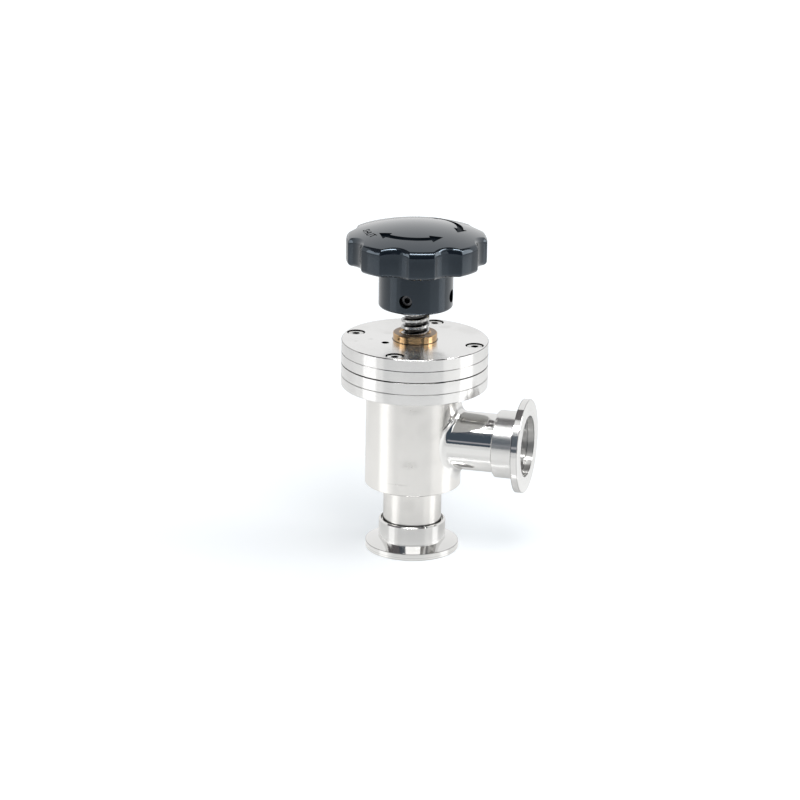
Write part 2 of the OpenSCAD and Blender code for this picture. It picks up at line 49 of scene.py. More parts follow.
print("frame loaded:", len(nodes), "nodes")


# camera, fitted to the photograph's frame
camera = {"azimuth": 14.63, "elevation": 17.83, "roll": 0.9, "distance": 1.52904,
          "aim": (0, 0, 0.075), "aimPixel": (414.38, 379.29), "focal": 3598.06, "frame": 800}


def cameraAxes():
    a, e, r = (math.radians(camera[k]) for k in ("azimuth", "elevation", "roll"))
    back = Vector((math.sin(a) * math.cos(e), -math.cos(a) * math.cos(e), math.sin(e)))
    right = Vector((math.cos(a), math.sin(a), 0))
    up = right.cross(-back)
    return (math.cos(r) * right + math.sin(r) * up, math.cos(r) * up - math.sin(r) * right, back)


def makeCamera():
    right, up, back = cameraAxes()
    half, f = camera["frame"] / 2, camera["focal"]
    u, v = (camera["aimPixel"][0] - half) / f, (half - camera["aimPixel"][1]) / f
    place = Vector(camera["aim"]) - camera["distance"] * (u * right + v * up - back)
    data = bpy.data.cameras.new("valveCamera")
    data.sensor_width = 36
    data.lens = f * data.sensor_width / camera["frame"]
    data.clip_start, data.clip_end = 0.05, 50
    obj = bpy.data.objects.new("valveCamera", data)
    scene.collection.objects.link(obj)
    obj.matrix_world = Matrix.Translation(place) @ Matrix((right, up, back)).transposed().to_4x4()
    scene.camera = obj


makeCamera()
print("camera set")


# node helpers for the finishes
def setValues(node, values):
    for key, value in values.items():
        socket = node.inputs[key]
        isColor = isinstance(value, tuple) and len(value) == 3 and len(socket.default_value) == 4
        socket.default_value = (*value, 1) if isColor else value


def addNode(tree, kind, values=None, **props):
    node = tree.nodes.new(kind)
    for key, value in props.items():
        setattr(node, key, value)
    setValues(node, values or {})
    return node


def mathNode(tree, op, a, b=None):
    node = addNode(tree, "ShaderNodeMath", operation=op)
    for i, value in enumerate((a, b)):
        if value is None:
            continue
        if isinstance(value, (int, float)):
            node.inputs[i].default_value = value
        else:
            tree.links.new(value, node.inputs[i])
    return node.outputs[0]


def mapRange(tree, value, low, high, toLow, toHigh):
    node = addNode(tree, "ShaderNodeMapRange", {1: low, 2: high, 3: toLow, 4: toHigh}, clamp=True)
    tree.links.new(value, node.inputs[0])
    return node.outputs[0]


def mixColor(tree, factor, a, b):
    node = addNode(tree, "ShaderNodeMix", data_type="RGBA")
    for socket, value in ((node.inputs[0], factor), (node.inputs[6], a), (node.inputs[7], b)):
        if isinstance(value, tuple):
            socket.default_value = (*value, 1)
        elif isinstance(value, (int, float)):
            socket.default_value = value
        else:
            tree.links.new(value, socket)
    return node.outputs[2]


def noise(tree, vector, scale, detail=2.0, rough=0.5):
    node = addNode(tree, "ShaderNodeTexNoise", {"Scale": scale, "Detail": detail, "Roughness": rough})
    tree.links.new(vector, node.inputs["Vector"])
    return node.outputs["Fac"]


def objectCoords(tree):
    return addNode(tree, "ShaderNodeTexCoord").outputs["Object"]


# coordinates that run round, out from and along the axis a piece was turned on
def turnedCoords(tree, axis, offset=(0, 0, 0)):
    shift = addNode(tree, "ShaderNodeVectorMath", {1: offset}, operation="SUBTRACT")
    tree.links.new(objectCoords(tree), shift.inputs[0])
    split = addNode(tree, "ShaderNodeSeparateXYZ")
    tree.links.new(shift.outputs[0], split.inputs[0])
    x, y, z = split.outputs
    along, p, q = (x, y, z) if axis == "X" else (z, x, y)
    radius = mathNode(tree, "SQRT", mathNode(tree, "ADD", mathNode(tree, "MULTIPLY", p, p),
                                             mathNode(tree, "MULTIPLY", q, q)))
    angle = mathNode(tree, "ARCTAN2", q, p)
    return angle, radius, along


def axisNormal(tree, axis):
    split = addNode(tree, "ShaderNodeSeparateXYZ")
    tree.links.new(addNode(tree, "ShaderNodeTexCoord").outputs["Normal"], split.inputs[0])
    return split.outputs[axis]


def newFinish(name):
    material = bpy.data.materials.new(name)
    material.use_nodes = True
    return material, material.node_tree, material.node_tree.nodes["Principled BSDF"]


# finger marks and short scratches, each at its own place
def handlingMarks(tree, along, spec):
    found = None
    coords = objectCoords(tree)
    breakup = mapRange(tree, noise(tree, coords, 260, 3), 0.3, 0.7, 0.45, 1)
    for place, size, strength, flat in spec.get("marks", ()):
        away = addNode(tree, "ShaderNodeVectorMath", {1: tuple(c * mm for c in place)}, operation="DISTANCE")
        tree.links.new(coords, away.inputs[0])
        fade = mapRange(tree, away.outputs["Value"], 0.3 * size * mm, size * mm, strength, 0)
        mark = mathNode(tree, "MULTIPLY", fade, breakup)
        if flat:
            near = mathNode(tree, "ABSOLUTE", mathNode(tree, "SUBTRACT", along, place[2] * mm))
            mark = mathNode(tree, "MULTIPLY", mark, mapRange(tree, near, 0.3 * flat * mm, flat * mm, 1, 0))
        found = mathNode(tree, "MAXIMUM", found, mark) if found else mark
    return found


# colours of painted shade in joints, grooves, thread roots, holes and at the nut's foot, and the darkening of real
# handling marks
grimeAndShade = {"groove": (0.03, 0.028, 0.026), "hole": (0.05, 0.047, 0.045), "foot": (0.03, 0.024, 0.02),
         "edge": 0.0001, "footBand": (0.0002, 0.0004), "footDark": 0.9, "markDark": 0.6, "markRough": 2}
tooling = {"bump": 0.00002, "squeeze": 0.0004, "toneScale": 38, "tone": 0.965, "spread": (0.94, 1.06),
           "smudgeBand": (0.52, 0.72), "faceBand": (0.9, 0.97)}  # lengths in metres


# metal that was turned on one axis: fine rings from the tool, soft smudges, a little tarnish, and painted shade in its
# joints, grooves, holes and on end faces
def turnedMetal(name, spec):
    material, tree, shader = newFinish(name)
    links = tree.links
    angle, radius, along = turnedCoords(tree, spec["axis"], spec.get("offset", (0, 0, 0)))
    ringCoords = addNode(tree, "ShaderNodeCombineXYZ")
    links.new(mathNode(tree, "MULTIPLY", angle, tooling["squeeze"]), ringCoords.inputs[0])
    links.new(radius, ringCoords.inputs[1])
    links.new(along, ringCoords.inputs[2])
    rings = noise(tree, ringCoords.outputs[0], spec["ringScale"], 3, 0.6)
    cloud = noise(tree, objectCoords(tree), spec["smudgeScale"], 4, 0.55)
    smudge = mapRange(tree, cloud, *tooling["smudgeBand"], 0, 1)
    tone = mapRange(tree, noise(tree, objectCoords(tree), tooling["toneScale"], 2), 0.3, 0.7, 0, 1)
    base = mixColor(tree, tone, spec["color"], tuple(c * tooling["tone"] for c in spec["color"]))
    wornAndShaded = mixColor(tree, mathNode(tree, "MULTIPLY", smudge, spec["smudge"]), base, spec["smudgeAndShadeColor"])
    if "rootR" in spec:  # painted shade in the thread's root
        rootShade = mapRange(tree, radius, spec["rootR"], spec["crestR"], 0.9, 0)
        wornAndShaded = mixColor(tree, rootShade, wornAndShaded, spec["rootShadeColor"])
    for height, half, dark in spec.get("lines", ()):  # painted shade as dark lines in the joint, the turned grooves, at the nut's foot and along edges; the inlet rim's middle line is a painted reflection
        near = mathNode(tree, "ABSOLUTE", mathNode(tree, "SUBTRACT", along, height))
        wornAndShaded = mixColor(tree, mapRange(tree, near, half, half + grimeAndShade["edge"], dark, 0), wornAndShaded, grimeAndShade["groove"])
    if "holeR" in spec:  # painted shade on the walls of the holes through the plate
        wall = mathNode(tree, "LESS_THAN", mathNode(tree, "ABSOLUTE", axisNormal(tree, spec["axis"])), 0.5)
        within = mathNode(tree, "LESS_THAN", radius, spec["holeR"])
        wornAndShaded = mixColor(tree, mathNode(tree, "MULTIPLY", wall, within), wornAndShaded, grimeAndShade["hole"])
    if "footR" in spec:  # painted contact shadow where the nut stands on the plate
        foot = mathNode(tree, "ABSOLUTE", mathNode(tree, "SUBTRACT", radius, spec["footR"]))
        wornAndShaded = mixColor(tree, mapRange(tree, foot, *grimeAndShade["footBand"], grimeAndShade["footDark"], 0), wornAndShaded, grimeAndShade["foot"])
    marks = handlingMarks(tree, along, spec)
    if marks:
        wornAndShaded = mixColor(tree, mathNode(tree, "MULTIPLY", marks, grimeAndShade["markDark"]), wornAndShaded, spec["smudgeAndShadeColor"])
        smudge = mathNode(tree, "ADD", smudge, mathNode(tree, "MULTIPLY", marks, grimeAndShade["markRough"]))
    spread = mathNode(tree, "ADD", mapRange(tree, rings, 0.3, 0.7, *(spec["rough"] * k for k in tooling["spread"])),
                      mathNode(tree, "MULTIPLY", smudge, spec["smudgeRough"]))
    if "faceRough" in spec:  # end faces are coarser than the rim
        upright = mathNode(tree, "ABSOLUTE", axisNormal(tree, spec["axis"]))
        coarse = mapRange(tree, upright, *tooling["faceBand"], 0, spec["faceRough"])
        spread = mathNode(tree, "MAXIMUM", spread, coarse)
        if "faceDark" in spec:  # and are painted darker, as shade
            faceShade = mapRange(tree, upright, *tooling["faceBand"], 0, spec["faceDark"])
            wornAndShaded = mixColor(tree, faceShade, wornAndShaded, spec["smudgeAndShadeColor"])
    if "collarR" in spec:  # the collar is turned, not polished
        collar = mapRange(tree, radius, spec["collarR"], spec["collarR"] + 0.0003, spec["collarRough"], 0)
        spread = mathNode(tree, "MAXIMUM", spread, collar)
    if "boreR" in spec:  # bores are left as the tool cut them
        inside = mapRange(tree, radius, spec["boreR"] - 0.00005, spec["boreR"] + 0.00005, spec["boreRough"], 0)
        spread = mathNode(tree, "MAXIMUM", spread, inside)
        links.new(mapRange(tree, inside, 0, spec["boreRough"], spec["aniso"], 1), shader.inputs["Anisotropic"])
    links.new(wornAndShaded, shader.inputs["Base Color"])
    links.new(spread, shader.inputs["Roughness"])
    shader.inputs["Metallic"].default_value = 1 - spec.get("haze", 0)  # fine tool lines scatter a little light
    setValues(shader, {"Anisotropic": spec["aniso"], "Anisotropic Rotation": 0.25})
    tangent = addNode(tree, "ShaderNodeTangent", direction_type="RADIAL", axis=spec["axis"])
    links.new(tangent.outputs[0], shader.inputs["Tangent"])
    bump = addNode(tree, "ShaderNodeBump", {"Strength": spec["bump"], "Distance": tooling["bump"]})
    links.new(rings, bump.inputs["Height"])
    links.new(bump.outputs[0], shader.inputs["Normal"])
    return material


steel = (0.752, 0.74, 0.72)
satin = {"axis": "Z", "color": steel, "rough": 0.22, "aniso": 0.55, "ringScale": 2600, "bump": 0.1,
         "smudgeScale": 75, "smudge": 0.10, "smudgeAndShadeColor": (0.5, 0.49, 0.47), "smudgeRough": 0.05}
polished = dict(satin, color=(0.742, 0.738, 0.728), rough=0.085, aniso=0.3, bump=0.06, smudgeRough=0.03, smudge=0.05,
                boreR=0.0133, boreRough=0.28)
sidePort = dict(polished, axis="X", offset=(0, 0, 0.05))
finishes = {
    "satinSteel": dict(satin, marks=[((4.8, -19.9, 67.2), 6.5, 0.4, 2.2), ((3.1, -20.3, 43.4), 4.6, 0.7, 2.6),
                                     ((12.3, -16.4, 58.7), 7.0, 0.25, 0), ((-1.6, -20.4, 34.1), 5.5, 1.0, 0.25),
                                     ((1.3, -12.4, 22.7), 4.5, 0.4, 0), ((-12, 16, 52), 5.0, 0.5, 0)]),
    "polishedSteelZ": dict(polished, lines=[(0.0029, 0.00008, 0.6), (0.0012, 0.00004, 0.3), (0.0003, 0.00006, 0.4)]),
    "polishedSteelX": dict(sidePort, rough=0.08, haze=0.08, collarR=0.0165, collarRough=0.22,
                           lines=[(0.0471, 0.00008, 0.6), (0.0497, 0.00006, 0.4)]),
    "polishedTube": dict(sidePort, rough=0.07, boreR=0.0116),
    "plateSteel": dict(satin, color=(0.768, 0.764, 0.757), rough=0.15, aniso=1.0, faceRough=0.15,
                       holeR=0.0306, footR=0.0094,
                       lines=[(0.0829, 0.00024, 0.93), (0.0777, 0.00012, 0.5),
                              (0.0878, 0.00012, 0.5), (0.0928, 0.00008, 0.6)],
                       marks=[((-17.7, -6.0, 93), 1.6, 0.7, 0), ((-23, -10.8, 93), 1.2, 0.8, 0),
                              ((-13.1, 4.7, 93), 3.0, 0.5, 0), ((8, 21, 93), 3.5, 0.5, 0)]),
    "bellowsSteel": dict(satin, rough=0.25, aniso=0.2),
    "stemSteel": dict(satin, color=(0.55, 0.55, 0.55), rough=0.16, aniso=0.2, smudge=0.5, smudgeAndShadeColor=(0.2, 0.18, 0.15),
                      smudgeScale=400, smudgeRough=0.15, rootR=0.0051, crestR=0.0058, rootShadeColor=grimeAndShade["groove"]),
    "springSteel": dict(satin, color=(0.16, 0.16, 0.165), rough=0.35, aniso=0.1),
    "bronze": dict(satin, color=(0.55, 0.36, 0.185), rough=0.14, aniso=0.6, faceRough=0.4, faceDark=0.9, haze=0.03,
                   lines=[(0.09305, 0.00012, 0.9)], smudge=0.45, smudgeScale=160,
                   smudgeAndShadeColor=(0.2, 0.145, 0.105), smudgeRough=0.08),
    "brass": dict(satin, color=(0.62, 0.5, 0.26), rough=0.25, smudge=0.3, smudgeAndShadeColor=(0.4, 0.3, 0.14)),
}
finishes["flangeSteel"] = dict(finishes["plateSteel"], faceDark=0.4, faceRough=0.4)  # underside left as turned, and its faces painted darker as shade
metals = {name: turnedMetal(name, spec) for name, spec in finishes.items()}


# bright screws and blackened set screws: no turning axis of their own here, so a plain fine grain
def grainMetal(name, color, rough, dark, socketTop=None):
    material, tree, shader = newFinish(name)
    coords = objectCoords(tree)
    grain = noise(tree, coords, 1500, 3, 0.6)
    dirtAndShade = mapRange(tree, noise(tree, coords, 420, 3), 0.5, 0.75, 0, 0.6)
    if socketTop:  # painted shade down in the key sockets
        split = addNode(tree, "ShaderNodeSeparateXYZ")
        tree.links.new(coords, split.inputs[0])
        dirtAndShade = mathNode(tree, "MAXIMUM", dirtAndShade, mapRange(tree, split.outputs[2], socketTop - 0.0004, socketTop, 1, 0))
    tree.links.new(mixColor(tree, dirtAndShade, color, dark), shader.inputs["Base Color"])
    tree.links.new(mapRange(tree, grain, 0.3, 0.7, rough * 0.8, rough * 1.25), shader.inputs["Roughness"])
    shader.inputs["Metallic"].default_value = 1
    bump = addNode(tree, "ShaderNodeBump", {"Strength": 0.15, "Distance": tooling["bump"]})
    tree.links.new(grain, bump.inputs["Height"])
    tree.links.new(bump.outputs[0], shader.inputs["Normal"])
    return material


metals["screwSteel"] = grainMetal("screwSteel", (0.68, 0.68, 0.67), 0.16, (0.06, 0.056, 0.053), 0.0925)
metals["blackSteel"] = grainMetal("blackSteel", (0.1, 0.1, 0.105), 0.26, (0.015, 0.015, 0.015))


# glossy black moulding with a trace of orange peel, and the matt seal rubber
moulding = {"color": (0.004, 0.0062, 0.0095), "bloom": (0.007, 0.0095, 0.0135), "rough": 0.09, "peel": 0.04,
            "shine": 0.5, "tint": (0.56, 0.78, 1.0), "ior": 1.5, "coat": 0.7, "coatIor": 1.4, "coatRough": 0.06,
            "cloudScale": 90, "peelScale": 650, "peelDepth": 0.00006,
            "markRough": 0.5, "markShine": 0.08}  # the marks' sunk floor is matt
seal = {"color": (0.018, 0.016, 0.015), "dust": (0.045, 0.042, 0.04), "dustScale": 300, "rough": (0.42, 0.62),
        "grainScale": 1800, "bump": 0.2, "depth": 0.00004}


def mouldedPlastic(name, rough, shine, coat):
    material, tree, shader = newFinish(name)
    coords = objectCoords(tree)
    cloud = noise(tree, coords, moulding["cloudScale"], 3)
    tree.links.new(mixColor(tree, mapRange(tree, cloud, 0.35, 0.7, 0, 1), moulding["color"], moulding["bloom"]),
                   shader.inputs["Base Color"])
    tree.links.new(mapRange(tree, cloud, 0.3, 0.75, rough * 0.85, rough * 1.25), shader.inputs["Roughness"])
    peel = noise(tree, coords, moulding["peelScale"], 1)
    bump = addNode(tree, "ShaderNodeBump", {"Strength": moulding["peel"], "Distance": moulding["peelDepth"]})
    tree.links.new(peel, bump.inputs["Height"])
    tree.links.new(bump.outputs[0], shader.inputs["Normal"])
    setValues(shader, {"IOR": moulding["ior"], "Specular Tint": moulding["tint"], "Specular IOR Level": shine,
                       "Coat Weight": coat, "Coat IOR": moulding["coatIor"], "Coat Roughness": moulding["coatRough"]})
    return material


def sealRubber():
    material, tree, shader = newFinish("sealRubber")
    coords = objectCoords(tree)
    dust = mapRange(tree, noise(tree, coords, seal["dustScale"], 4), 0.45, 0.75, 0, 1)
    tree.links.new(mixColor(tree, dust, seal["color"], seal["dust"]), shader.inputs["Base Color"])
    tree.links.new(mapRange(tree, dust, 0, 1, *seal["rough"]), shader.inputs["Roughness"])
    bump = addNode(tree, "ShaderNodeBump", {"Strength": seal["bump"], "Distance": seal["depth"]})
    tree.links.new(noise(tree, coords, seal["grainScale"], 2), bump.inputs["Height"])
    tree.links.new(bump.outputs[0], shader.inputs["Normal"])
    return material


blackMoulding = mouldedPlastic("blackMoulding", moulding["rough"], moulding["shine"], moulding["coat"])
rubber = sealRubber()
markMoulding = mouldedPlastic("markMoulding", moulding["markRough"], moulding["markShine"], 0.0)
nodeFinish = {
    "barrel": metals["satinSteel"], "barrel_floor": metals["satinSteel"], "body_flange": metals["flangeSteel"],
    "bonnet": metals["plateSteel"], "inlet_tube": metals["satinSteel"], "side_tube": metals["polishedTube"],
    "inlet_flange": metals["polishedSteelZ"], "outlet_flange": metals["polishedSteelX"],
    "bonnet_screws": metals["screwSteel"], "stem_nut": metals["bronze"], "bonnet_o_ring": rubber,
    "bellows_flange": metals["satinSteel"], "bellows": metals["bellowsSteel"],
    "bellows_collar": metals["satinSteel"], "poppet": metals["satinSteel"], "disc_o_ring": rubber,
    "carrier_cap": metals["satinSteel"], "thrust_washer_upper": metals["bronze"],
    "thrust_washer_lower": metals["bronze"], "stem": metals["stemSteel"], "circlip": metals["springSteel"],
    "hub_bush": metals["brass"], "grub_screws": metals["blackSteel"], "handwheel": blackMoulding,
}
for nodeName, obj in nodes.items():
    obj.data.materials.clear()
    obj.data.materials.append(nodeFinish[nodeName])
print("finishes made:", len(metals) + 3)


# pieces
def addPiece(name, points, faces, finish, body, replaced, sharp=30):
    mesh = bpy.data.meshes.new(name)
    mesh.from_pydata([tuple(float(c) * mm for c in p) for p in points], [], faces)
    mesh.validate()
    mesh.shade_smooth()
    mesh.set_sharp_from_angle(angle=math.radians(sharp))
    mesh.materials.append(finish)
    obj = bpy.data.objects.new(name, mesh)
    scene.collection.objects.link(obj)
    if body:
        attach(obj, body)
    if replaced:
        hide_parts(replaced)
    return obj


# quads between closed rings of equal length, the last joined to the first when looped
def ringFaces(count, rings, looped=False):
    faces = []
    for k in range(rings if looped else rings - 1):
        a, b = k * count, ((k + 1) % rings) * count
        for i in range(count):
            j = (i + 1) % count
            faces.append((a + i, a + j, b + j, b + i))
    return faces


# fans that close the first and the last ring
def closeEnds(points, faces, count, firstMiddle, lastMiddle, flipped=False):
    first, last = len(points), len(points) - count
    points += [firstMiddle, lastMiddle]
    for i in range(count):
        j = (i + 1) % count
        a, b = (i, j) if flipped else (j, i)
        faces += [(first, a, b), (first + 1, last + b, last + a)]


def latheRings(profile, count):
    turn = np.linspace(0, 2 * math.pi, count, endpoint=False)
    return [(r * math.cos(t), r * math.sin(t), z) for r, z in profile for t in turn]


# side tube with its pulled blend, as one closed skin round the tube's axis
tee = {"axisHeight": 50, "tubeR": 12.5, "boreR": 11, "barrelR": 20.5, "chamberR": 18.5, "ball": 5.0, "tubeBall": 3.0,
       "end": 45, "tuck": 0.02, "turnSteps": 288, "arcSteps": 22, "tubeRings": 14, "boreRings": 6}


def sideTube():
    s = tee
    count = s["turnSteps"]
    grid = []
    for i in range(count):
        a = 2 * math.pi * i / count
        oy, oz = s["tubeR"] * math.cos(a), s["tubeR"] * math.sin(a)
        reach, rolled = s["tubeR"] + s["ball"], s["barrelR"] + s["ball"]
        fy, share = reach * math.cos(a), s["barrelR"] / rolled
        # from where the blend leaves the barrel to where it joins the tube
        first = np.array([share * math.sqrt(rolled ** 2 - fy * fy), share * fy, reach * math.sin(a)])
        near = s["tubeR"] + s["tubeBall"]
        last = np.array([math.sqrt((s["barrelR"] + s["tubeBall"]) ** 2 - (near * math.cos(a)) ** 2), oy, oz])
        bend = np.array([(s["barrelR"] ** 2 - oy * first[1]) / first[0], oy, oz])
        column = []
        for k in range(s["arcSteps"] + 1):
            t = k / s["arcSteps"]
            column.append((1 - t) ** 2 * first + 2 * t * (1 - t) * bend + t * t * last)
        for k in range(1, s["tubeRings"] + 1):
            column.append(last + np.array([(s["end"] - last[0]) * k / s["tubeRings"], 0, 0]))
        cy, cz = s["boreR"] * math.cos(a), s["boreR"] * math.sin(a)
        inner = math.sqrt(s["chamberR"] ** 2 - cy * cy)
        for k in range(s["boreRings"] + 1):
            column.append(np.array([s["end"] + (inner - s["end"]) * k / s["boreRings"], cy, cz]))
        column.append(np.array([math.sqrt(s["chamberR"] ** 2 - oy * oy), oy, oz]))
        column.append(np.array([math.sqrt((s["barrelR"] - s["tuck"]) ** 2 - oy * oy), oy, oz]))
        grid.append(column)
    rings = len(grid[0])
    points = [grid[i][k] + np.array([0, 0, s["axisHeight"]]) for k in range(rings) for i in range(count)]
    addPiece("side_tube_skin", points, ringFaces(count, rings, True), metals["polishedTube"],
             "valve", "side_tube", 40)


sideTube()
print("side tube made")


# handwheel: lofted moulding with arrows and a word sunk in its dome
wheel = {"radius": 29.7, "lobes": 8, "scallopR": 11.5, "scallopDepth": 2.5, "lobeRound": 1.2, "clock": 19,
         "rimLow": 126.6, "rimTop": 138.2, "domeRise": 5.4, "topRound": (2.0, 3.0), "lowRound": 1.8, "rimWall": 3.6,
         "hollow": 134.1, "hollowR": 8.0, "mouth": 0.3, "sharp": 38, "tipSteps": 44, "scallopSteps": 60,
         "cornerSteps": 10, "domeRings": 22, "topRings": 14, "lowRings": 8}
arrows = {"radius": 18.2, "width": 2.6, "centres": (273, 42), "sweep": 96, "headLength": 5.6, "headHalf": 2.9,
          "tip": 0.1, "shoulder": 0.006, "depth": 0.9, "stand": 1, "steps": 48}
words = {"SHUT": 213}  # sunk at the clockwise end of an arrow, read from the rim
lettering = {"radius": 21.5, "pitch": 3.05, "size": 4.1, "bold": 0.1, "depth": 0.6}
hub = {"radius": 15.75, "low": 107.7, "round": 1.0, "roundSteps": 6, "wallStep": 5, "wallRings": 4,
       "socketR": 9.05, "socketTop": 125.3, "socketMouth": 0.4, "holeR": 2.8,
       "holeHeight": 113.4, "holeAngles": (268.5, 358.5), "holeReach": (4, 22), "holeSteps": 48, "sink": 0.8,
       "segments": 192}


def wheelOutline():
    s = wheel
    at = s["radius"] - s["scallopDepth"] + s["scallopR"]
    cornerAt = s["radius"] - s["lobeRound"]
    cornerAngle = math.acos((cornerAt ** 2 + at ** 2 - (s["scallopR"] + s["lobeRound"]) ** 2) / (2 * cornerAt * at))
    cornerEnd = math.atan2(cornerAt * math.sin(cornerAngle), at - cornerAt * math.cos(cornerAngle))

    def polar(r, a):
        return complex(r * math.cos(a), r * math.sin(a))

    def corner(side):
        for i in range(s["cornerSteps"] + 1):
            t = i / s["cornerSteps"] if side < 0 else 1 - i / s["cornerSteps"]
            yield polar(cornerAt, side * cornerAngle) + \
                polar(s["lobeRound"], -side * (-cornerAngle + t * (cornerAngle + cornerEnd)))

    scallop = [complex(at, 0) + polar(s["scallopR"], math.pi + cornerEnd * (1 - 2 * i / s["scallopSteps"]))
               for i in range(1, s["scallopSteps"])]
    sweep = 2 * math.pi / s["lobes"] - 2 * cornerAngle
    tip = [polar(s["radius"], cornerAngle + sweep * i / (s["tipSteps"] + 1)) for i in range(1, s["tipSteps"] + 1)]
    one = list(corner(-1)) + scallop + list(corner(1)) + tip
    points = []
    for k in range(s["lobes"]):
        turn = polar(1, math.radians(s["clock"]) + (k + 0.5) * 2 * math.pi / s["lobes"])
        points += [p * turn for p in one]
    return np.array(points)


domeR = (wheel["radius"] ** 2 + wheel["domeRise"] ** 2) / (2 * wheel["domeRise"])
domeMiddle = wheel["rimTop"] + wheel["domeRise"] - domeR


def domeHeight(r):
    return domeMiddle + np.sqrt(domeR ** 2 - r * r)


# closed body of one double arrow, standing through the dome's skin
def arrowCutter(centre):
    s = arrows
    half, head = math.radians(s["sweep"] / 2), s["headLength"] / s["radius"]
    side = [(half, s["tip"]), (half - head, s["headHalf"]), (half - head - s["shoulder"], s["width"] / 2)]
    stations = [(-a, w) for a, w in side]
    stations += [(a, s["width"] / 2) for a in np.linspace(-side[2][0], side[2][0], s["steps"])[1:-1]] + side[::-1]
    points = []
    for off, w in stations:
        a = math.radians(centre) + off
        for out, lift in ((-w, -s["depth"]), (w, -s["depth"]), (w, s["stand"]), (-w, s["stand"])):
            r = s["radius"] + out
            points.append(Vector((r * math.cos(a), r * math.sin(a), domeHeight(r) + lift)) * mm)
    last = len(points) - 4
    return points, ringFaces(4, len(stations)) + [(3, 2, 1, 0), (last, last + 1, last + 2, last + 3)]


# letters stand square on the dome, each at its own place on the arc
def letterCutters():
    s = lettering
    slope = math.asin(s["radius"] / domeR)
    for word, centre in words.items():
        for k, letter in enumerate(word):
            curve = bpy.data.curves.new("letter", "FONT")
            curve.body, curve.size, curve.extrude = letter, s["size"] * mm, s["depth"] * mm
            curve.offset, curve.align_x, curve.align_y = s["bold"] * mm, "CENTER", "CENTER"
            shape = bpy.data.objects.new("letter", curve)
            scene.collection.objects.link(shape)
            bpy.context.view_layer.update()
            mesh = bpy.data.meshes.new_from_object(shape.evaluated_get(bpy.context.evaluated_depsgraph_get()))
            bpy.data.objects.remove(shape)
            a = math.radians(centre) + (k - (len(word) - 1) / 2) * s["pitch"] / s["radius"]
            at = Vector((s["radius"] * math.cos(a), s["radius"] * math.sin(a), domeHeight(s["radius"]))) * mm
            place = Matrix.Translation(at) @ Matrix.Rotation(a + math.pi / 2, 4, "Z") @ Matrix.Rotation(slope, 4, "X")
            yield [place @ v.co for v in mesh.vertices], [tuple(f.vertices) for f in mesh.polygons]


def cutMarks(obj):
    shapes = [arrowCutter(c) for c in arrows["centres"]] + list(letterCutters())
    body = bmesh.new()
    for points, faces in shapes:
        corners = [body.verts.new(p) for p in points]
        for face in faces:
            body.faces.new([corners[i] for i in face])
    bmesh.ops.remove_doubles(body, verts=body.verts, dist=1e-6)
    bmesh.ops.recalc_face_normals(body, faces=body.faces)
    mesh = bpy.data.meshes.new("marks")
    body.to_mesh(mesh)
    body.free()
    mesh.materials.append(markMoulding)
    cutAway(obj, mesh)


def wheelTop():
    s = wheel
    outline = wheelOutline()
    count = len(outline)
    angle, edge = np.angle(outline), np.abs(outline)
    rings = []
    across, down = s["topRound"]  # half axes of the rounding, inwards and downwards
    lean = np.arctan(np.tan(np.arcsin((edge - across) / domeR)) * across / down)
    domeEdge = edge - across * (1 - np.sin(lean))
    for t in np.linspace(0.05, 1, s["domeRings"]):
        rr = domeEdge * t if t > 0.5 else np.full(count, domeEdge.mean() * t)
        rings.append((rr, domeHeight(rr)))
    centreZ = domeHeight(domeEdge) - down * np.cos(lean)
    for t in np.linspace(0, 1, s["topRings"] + 1)[1:]:
        a = lean + t * (math.pi / 2 - lean)
        rings.append((edge - across + across * np.sin(a), centreZ + down * np.cos(a)))
    for t in np.linspace(0, 1, s["lowRings"] + 1):
        a = t * math.pi / 2
        rings.append((edge - s["lowRound"] * (1 - math.cos(a)),
                      np.full(count, s["rimLow"] + s["lowRound"] * (1 - math.sin(a)))))
    inside, c = edge - s["rimWall"], s["mouth"]
    for rr, z in ((inside + c, s["rimLow"]), (inside, s["rimLow"] + c), (inside - c, s["hollow"] - 2 * c),
                  (inside - 3 * c, s["hollow"]), (np.full(count, s["hollowR"]), s["hollow"])):
        rings.append((rr, np.full(count, z)))
    points = [(r * math.cos(a), r * math.sin(a), z) for rr, zz in rings for r, z, a in zip(rr, zz, angle)]
    faces = [f[::-1] for f in ringFaces(count, len(rings))]
    closeEnds(points, faces, count, (0, 0, s["rimTop"] + s["domeRise"]), (0, 0, s["hollow"]))
    obj = addPiece("handwheel_top", points, faces, blackMoulding, None, None, s["sharp"])
    cutMarks(obj)
    middle = Vector((0, 0, domeMiddle * mm))

    def domeNormal(facing, p):
        out = p - middle
        onDome = abs(out.length - domeR * mm) < 3e-6 and facing.dot(out) > 0.97 * out.length
        return out.normalized() if onDome else None

    trueNormals(obj, domeNormal)
    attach(obj, "handwheel")
    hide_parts("handwheel")


